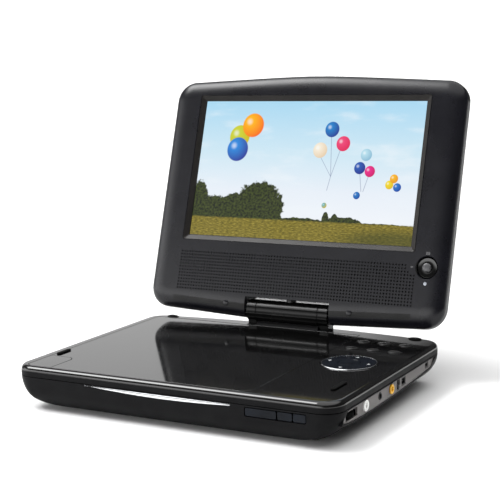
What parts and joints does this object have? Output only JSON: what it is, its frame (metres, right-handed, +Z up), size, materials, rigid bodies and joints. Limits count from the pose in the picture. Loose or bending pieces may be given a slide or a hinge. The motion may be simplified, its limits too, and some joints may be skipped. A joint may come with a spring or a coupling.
{
  "type": "portable dvd player",
  "caption": "Clamshell portable disc player: drive, keys and jacks in the base, widescreen display with speakers on a tilting, swivelling hinge.",
  "frame": {"origin": "centre of the bounding box at rest, on the surface the feet stand on", "axes": "+X to the right as a viewer faces the screen, +Y to the back, +Z up"},
  "size_m": [0.26, 0.2567, 0.2282],
  "materials": {
    "gloss_black": "piano black, polished",
    "satin_black": "fine satin",
    "bezel_charcoal": "satin charcoal",
    "inner_plastic": "as moulded",
    "soft_rubber": "matt",
    "bright_trim": "bright chrome",
    "plain_steel": "brushed",
    "smoked_window": "polished, dark tint",
    "circuit_board": "solder mask",
    "cell_wrap": "shrink film",
    "port_grey": "satin",
    "port_white": "satin",
    "port_black": "satin",
    "port_yellow": "satin",
    "lcd_picture": "anti-glare screen",
    "blue_lens": "clear lens",
    "speaker_paper": "pressed paper cone"
  },
  "bodies": {
    "base": {"lower_shell": "satin_black", "top_shell": "gloss_black", "disc_tray": "satin_black", "front_trim": "bright_trim", "ir_window": "smoked_window", "jack_panel": "port_grey", "headphone_jack": "port_white", "line_jack": "port_black", "av_jack": "port_yellow", "dc_jack": "port_black", "optical_jack": "port_black", "foot_front_left": "soft_rubber", "foot_front_middle": "soft_rubber", "foot_front_right": "soft_rubber", "foot_rear_left": "soft_rubber", "foot_rear_right": "soft_rubber", "rear_bumper_left": "soft_rubber", "rear_bumper_right": "soft_rubber", "front_pad_right": "soft_rubber", "main_board": "circuit_board", "battery_pack": "cell_wrap", "loader_chassis": "plain_steel", "guide_rod_left": "bright_trim", "guide_rod_right": "bright_trim", "spindle_motor": "plain_steel", "sled_motor": "plain_steel", "hinge_ear_left": "gloss_black", "hinge_ear_right": "gloss_black", "tilt_shaft": "plain_steel"},
    "lid": {"disc_lid": "gloss_black", "front_pad_left": "soft_rubber"},
    "open_tab": {"open_tab": "gloss_black"},
    "stop_button": {"stop_button": "gloss_black"},
    "play_button": {"play_button": "gloss_black"},
    "menu_button": {"menu_button": "gloss_black"},
    "setup_button": {"setup_button": "gloss_black"},
    "display_button": {"display_button": "gloss_black"},
    "mode_button": {"mode_button": "gloss_black"},
    "nav_gimbal": {"nav_gimbal": "inner_plastic"},
    "nav_ring": {"nav_ring": "smoked_window"},
    "enter_button": {"enter_button": "smoked_window"},
    "volume_wheel": {"volume_wheel": "soft_rubber"},
    "power_switch": {"power_switch": "port_black"},
    "turntable": {"turntable": "port_black"},
    "lead_screw": {"lead_screw": "plain_steel"},
    "pickup": {"pickup": "inner_plastic"},
    "hinge": {"hinge_barrel": "gloss_black", "swivel_post": "plain_steel"},
    "display": {"bezel": "bezel_charcoal", "rear_cover": "gloss_black", "lcd_panel": "lcd_picture", "display_board": "circuit_board", "speaker_left": "speaker_paper", "speaker_right": "speaker_paper", "display_bracket": "plain_steel", "led_lens": "blue_lens", "screw_cover_left": "soft_rubber", "screw_cover_right": "soft_rubber"},
    "joystick_gimbal": {"joystick_gimbal": "inner_plastic"},
    "joystick_cap": {"joystick_cap": "gloss_black"}
  },
  "joints": [
    {"name": "screen_tilt", "type": "hinge", "parent": "base", "child": "hinge", "pos_m": [0, 0.06045, 0.043], "axis": [1, 0, 0], "range_deg": [-40, 108]},
    {"name": "screen_swivel", "type": "hinge", "parent": "hinge", "child": "display", "pos_m": [0, 0.06045, 0.043], "axis": [0, 0.314, 0.9494], "range_deg": [0, 180]},
    {"name": "lid_hinge", "type": "hinge", "parent": "base", "child": "lid", "pos_m": [0, 0.05115, 0.0307], "axis": [1, 0, 0], "range_deg": [-50, 0]},
    {"name": "open_press", "type": "slide", "parent": "base", "child": "open_tab", "axis": [0, 0, -1], "range_m": [0, 0.001], "stiffness_N_per_m": 250},
    {"name": "stop_press", "type": "slide", "parent": "base", "child": "stop_button", "axis": [0, 0, -1], "range_m": [0, 0.0006], "stiffness_N_per_m": 250},
    {"name": "play_press", "type": "slide", "parent": "base", "child": "play_button", "axis": [0, 0, -1], "range_m": [0, 0.0006], "stiffness_N_per_m": 250},
    {"name": "menu_press", "type": "slide", "parent": "base", "child": "menu_button", "axis": [0, 0, -1], "range_m": [0, 0.0006], "stiffness_N_per_m": 250},
    {"name": "setup_press", "type": "slide", "parent": "base", "child": "setup_button", "axis": [0, 0, -1], "range_m": [0, 0.0006], "stiffness_N_per_m": 250},
    {"name": "display_press", "type": "slide", "parent": "base", "child": "display_button", "axis": [0, 0, -1], "range_m": [0, 0.0006], "stiffness_N_per_m": 250},
    {"name": "mode_press", "type": "slide", "parent": "base", "child": "mode_button", "axis": [0, 0, -1], "range_m": [0, 0.0006], "stiffness_N_per_m": 250},
    {"name": "nav_rock_front_back", "type": "hinge", "parent": "base", "child": "nav_gimbal", "pos_m": [0.0922, -0.02915, 0.027], "axis": [1, 0, 0], "range_deg": [-2, 2], "stiffness_Nm_per_rad": 0.12},
    {"name": "nav_rock_side", "type": "hinge", "parent": "nav_gimbal", "child": "nav_ring", "pos_m": [0.0922, -0.02915, 0.027], "axis": [0, 1, 0], "range_deg": [-2, 2], "stiffness_Nm_per_rad": 0.12},
    {"name": "enter_press", "type": "slide", "parent": "base", "child": "enter_button", "axis": [0, 0, -1], "range_m": [0, 0.0006], "stiffness_N_per_m": 250},
    {"name": "volume_turn", "type": "hinge", "parent": "base", "child": "volume_wheel", "pos_m": [0.1202, -0.10275, 0.0191], "axis": [0, 0, 1], "range_deg": [-140, 140]},
    {"name": "power_slide", "type": "slide", "parent": "base", "child": "power_switch", "axis": [0, 0, 1], "range_m": [0, 0.0025]},
    {"name": "disc_spin", "type": "hinge", "parent": "base", "child": "turntable", "pos_m": [-0.029, -0.03545, 0.02], "axis": [0, 0, 1], "continuous": true},
    {"name": "screw_turn", "type": "hinge", "parent": "base", "child": "lead_screw", "pos_m": [0.004, -0.06795, 0.0132], "axis": [0, 1, 0], "range_deg": [0, 3961]},
    {"name": "pickup_travel", "type": "slide", "parent": "base", "child": "pickup", "axis": [0, -1, 0], "range_m": [0, 0.033]},
    {"name": "stick_rock_side", "type": "hinge", "parent": "display", "child": "joystick_gimbal", "pos_m": [0.1142, 0.06902, 0.08451], "axis": [0, 0.314, 0.9494], "range_deg": [-8, 8], "stiffness_Nm_per_rad": 0.02},
    {"name": "stick_rock_up", "type": "hinge", "parent": "joystick_gimbal", "child": "joystick_cap", "pos_m": [0.1142, 0.06902, 0.08451], "axis": [1, 0, 0], "range_deg": [-8, 8], "stiffness_Nm_per_rad": 0.02}
  ],
  "couplings": [
    {"joint": "screw_turn", "follows": "pickup_travel", "rad_per_m": 2094.4}
  ]
}
